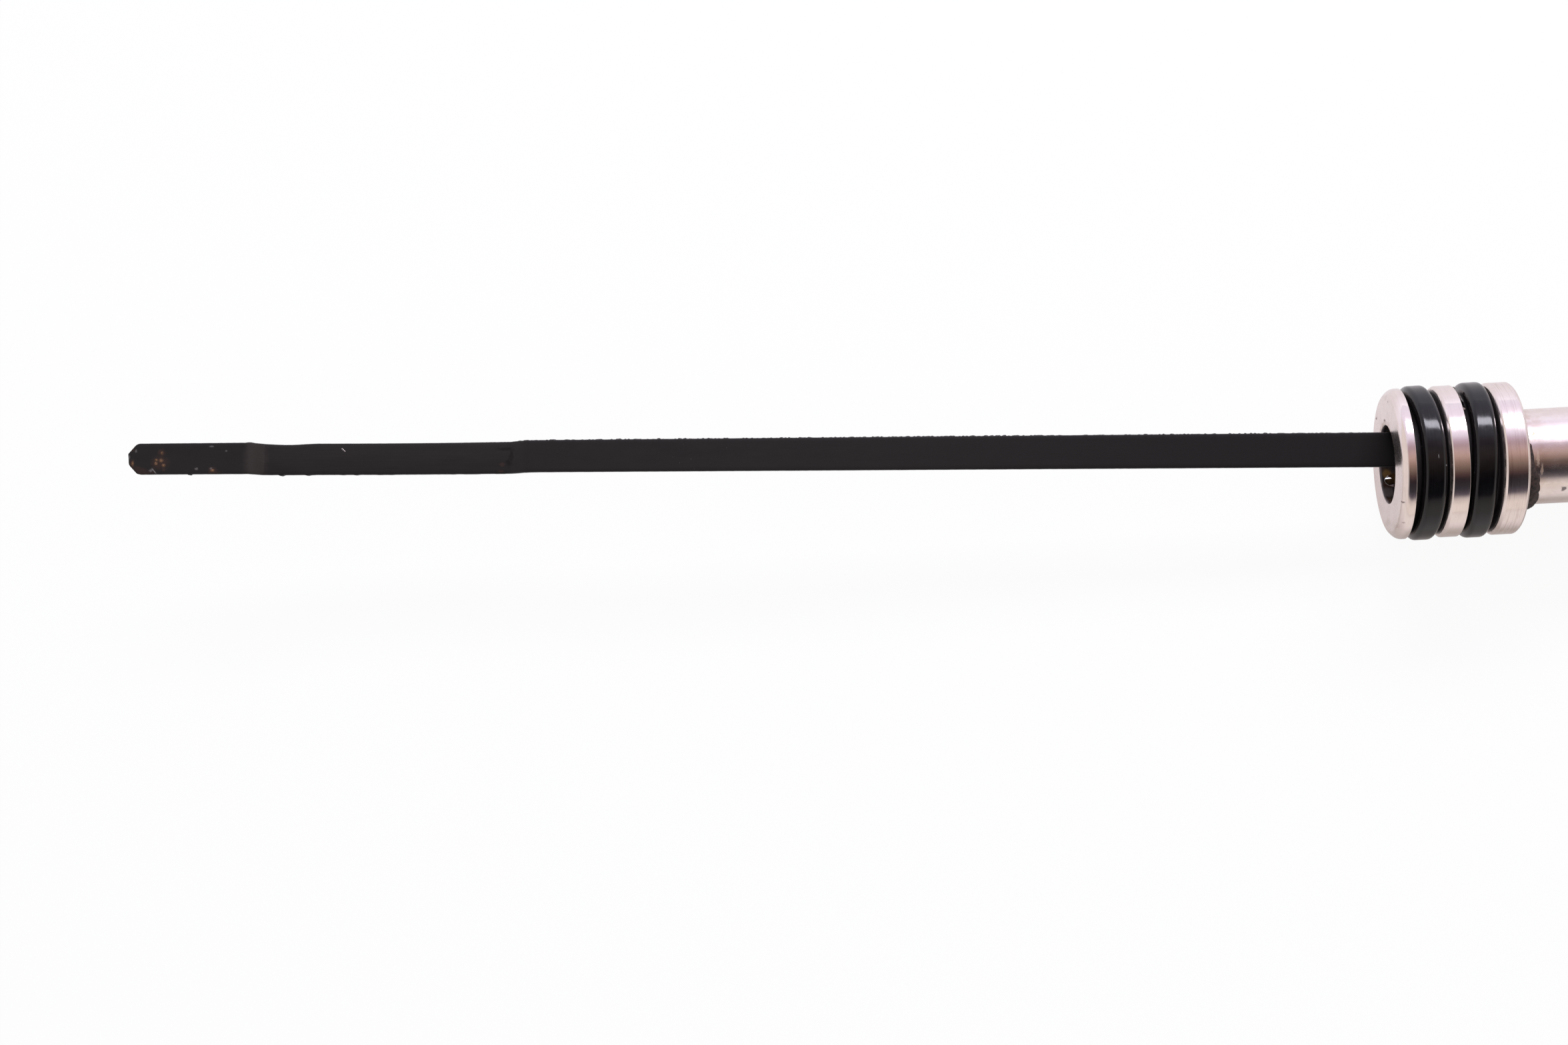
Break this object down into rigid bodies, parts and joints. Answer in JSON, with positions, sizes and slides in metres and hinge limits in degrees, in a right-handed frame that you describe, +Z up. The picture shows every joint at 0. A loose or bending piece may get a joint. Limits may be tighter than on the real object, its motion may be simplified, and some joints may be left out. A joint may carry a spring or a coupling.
{
  "type": "engine oil dipstick",
  "caption": "Oil dipstick: a joggled flat gauge blade standing out of a turned plug with O-rings, on a brazed neck tube with a moulded pull loop.",
  "frame": {"origin": "on the plug's axis, in the middle of its middle land, halfway between the O-ring grooves", "axes": "+X from the blade's tip to the handle as the dipstick lies, +Z up, away from the ground; the blade's flat face is up, and the plug's axis runs down towards the handle by 3.17 degrees"},
  "size_m": [0.2817, 0.046, 0.0204],
  "materials": {
    "blackened_steel": "blackened spring steel, oil-stained, with chips and specks of rust",
    "turned_aluminium": "turned, satin, faintly warm, with stains",
    "seal_rubber": "smooth and slightly glossy, flattened where it sealed",
    "tube_aluminium": "drawn, satin, spotted",
    "braze": "rough, burnt brown",
    "handle_plastic": "fine-grained black moulding",
    "pin_steel": "ground ends"
  },
  "bodies": {
    "root": {"blade": "blackened_steel", "plug": "turned_aluminium", "front_o_ring": "seal_rubber", "rear_o_ring": "seal_rubber", "neck_tube": "tube_aluminium", "braze_bead": "braze", "pull_handle": "handle_plastic", "cross_pin": "pin_steel"}
  },
  "joints": []
}
